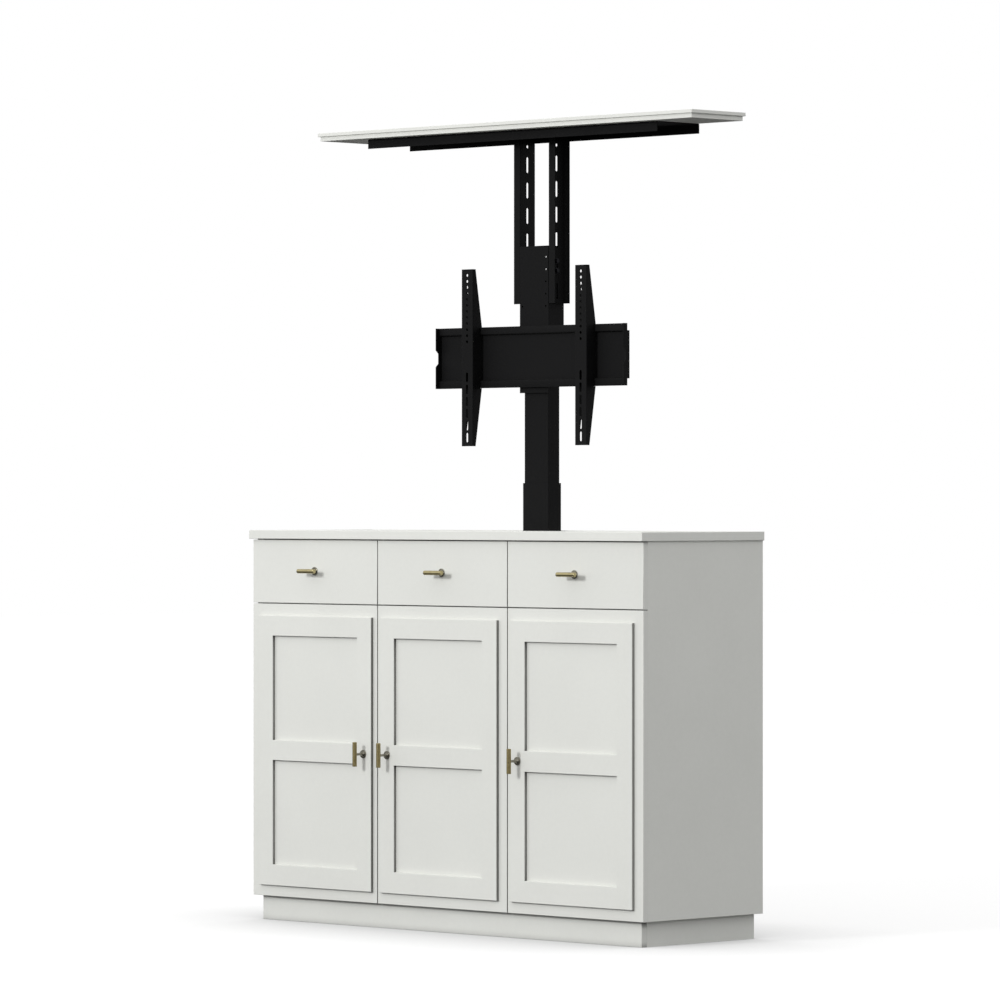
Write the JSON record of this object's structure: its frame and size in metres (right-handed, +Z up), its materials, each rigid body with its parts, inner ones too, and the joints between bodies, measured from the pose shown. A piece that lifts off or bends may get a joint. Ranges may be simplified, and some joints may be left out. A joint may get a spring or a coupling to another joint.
{
  "type": "tv lift cabinet",
  "caption": "White painted cabinet on a plinth, with framed doors and drawers, whose top lid rises on a telescopic steel column that carries a television bracket.",
  "frame": {"origin": "on the floor, under the middle of the cabinet body's footprint, with the lift fully raised", "axes": "+Z up, -Y out of the fronts, +X to the viewer's right when facing the fronts"},
  "size_m": [1.3828, 0.4656, 2.0097],
  "materials": {
    "white_lacquer": "satin white lacquer on board",
    "lid_underside": "satin lacquer on board",
    "carcass_board": "melamine-faced board",
    "black_steel": "black powder coat",
    "aged_brass": "brushed aged brass",
    "zinc_steel": "bright zinc plate",
    "nylon": "natural nylon",
    "black_plastic": "fine-grained moulding",
    "motor_enamel": "dark enamel"
  },
  "bodies": {
    "cabinet": {"back_panel": "carcass_board", "base_panel": "carcass_board", "column_bracket": "black_steel", "column_foot": "black_steel", "control_box": "black_plastic", "divider_left": "carcass_board", "divider_right": "carcass_board", "drawer_decks": "carcass_board", "drawer_rails": "nylon", "foot_board": "carcass_board", "hinge_arms": "zinc_steel", "lift_motor": "motor_enamel", "lower_spindle": "zinc_steel", "outer_glides": "nylon", "outer_tube": "black_steel", "partition": "carcass_board", "plinth_frame": "white_lacquer", "plinth_front": "white_lacquer", "shelf_pins": "zinc_steel", "shelves": "carcass_board", "side_left": "white_lacquer", "side_right": "white_lacquer", "top_slab": "white_lacquer"},
    "lift_middle": {"middle_glides": "nylon", "middle_nut_plate": "nylon", "middle_tube": "black_steel", "upper_spindle": "zinc_steel"},
    "lift_inner": {"arm_left": "black_steel", "arm_right": "black_steel", "cross_rail": "black_steel", "head_sleeve": "black_steel", "inner_nut_plate": "nylon", "inner_tube": "black_steel", "lid_cover": "white_lacquer", "lid_plug": "lid_underside", "lid_tray": "black_steel", "lift_bolts": "black_steel", "mast_left": "black_steel", "mast_right": "black_steel"},
    "door_left": {"door_left_frame": "white_lacquer", "door_left_hinge_cups": "zinc_steel", "door_left_knob": "aged_brass", "door_left_panel": "white_lacquer"},
    "drawer_left": {"drawer_left_box": "carcass_board", "drawer_left_front": "white_lacquer", "drawer_left_knob": "aged_brass"},
    "door_centre": {"door_centre_frame": "white_lacquer", "door_centre_hinge_cups": "zinc_steel", "door_centre_knob": "aged_brass", "door_centre_panel": "white_lacquer"},
    "drawer_centre": {"drawer_centre_box": "carcass_board", "drawer_centre_front": "white_lacquer", "drawer_centre_knob": "aged_brass"},
    "door_right": {"door_right_frame": "white_lacquer", "door_right_hinge_cups": "zinc_steel", "door_right_knob": "aged_brass", "door_right_panel": "white_lacquer"},
    "drawer_right": {"drawer_right_box": "carcass_board", "drawer_right_front": "white_lacquer", "drawer_right_knob": "aged_brass"}
  },
  "joints": [
    {"name": "middle_stage", "type": "slide", "parent": "cabinet", "child": "lift_middle", "axis": [0, 0, 1], "range_m": [-0.50477, 0]},
    {"name": "inner_stage", "type": "slide", "parent": "lift_middle", "child": "lift_inner", "axis": [0, 0, 1], "range_m": [-0.50477, 0]},
    {"name": "door_left_hinge", "type": "hinge", "parent": "cabinet", "child": "door_left", "pos_m": [-0.686, -0.211, 0.43345], "axis": [0, 0, -1], "range_deg": [0, 105]},
    {"name": "door_centre_hinge", "type": "hinge", "parent": "cabinet", "child": "door_centre", "pos_m": [0.22742, -0.211, 0.43345], "axis": [0, 0, 1], "range_deg": [0, 105]},
    {"name": "door_right_hinge", "type": "hinge", "parent": "cabinet", "child": "door_right", "pos_m": [0.686, -0.211, 0.43345], "axis": [0, 0, 1], "range_deg": [0, 105]},
    {"name": "drawer_left_slide", "type": "slide", "parent": "cabinet", "child": "drawer_left", "axis": [0, -1, 0], "range_m": [0, 0.11]},
    {"name": "drawer_centre_slide", "type": "slide", "parent": "cabinet", "child": "drawer_centre", "axis": [0, -1, 0], "range_m": [0, 0.11]},
    {"name": "drawer_right_slide", "type": "slide", "parent": "cabinet", "child": "drawer_right", "axis": [0, -1, 0], "range_m": [0, 0.11]}
  ],
  "couplings": [
    {"joint": "inner_stage", "follows": "middle_stage", "ratio": 1}
  ]
}
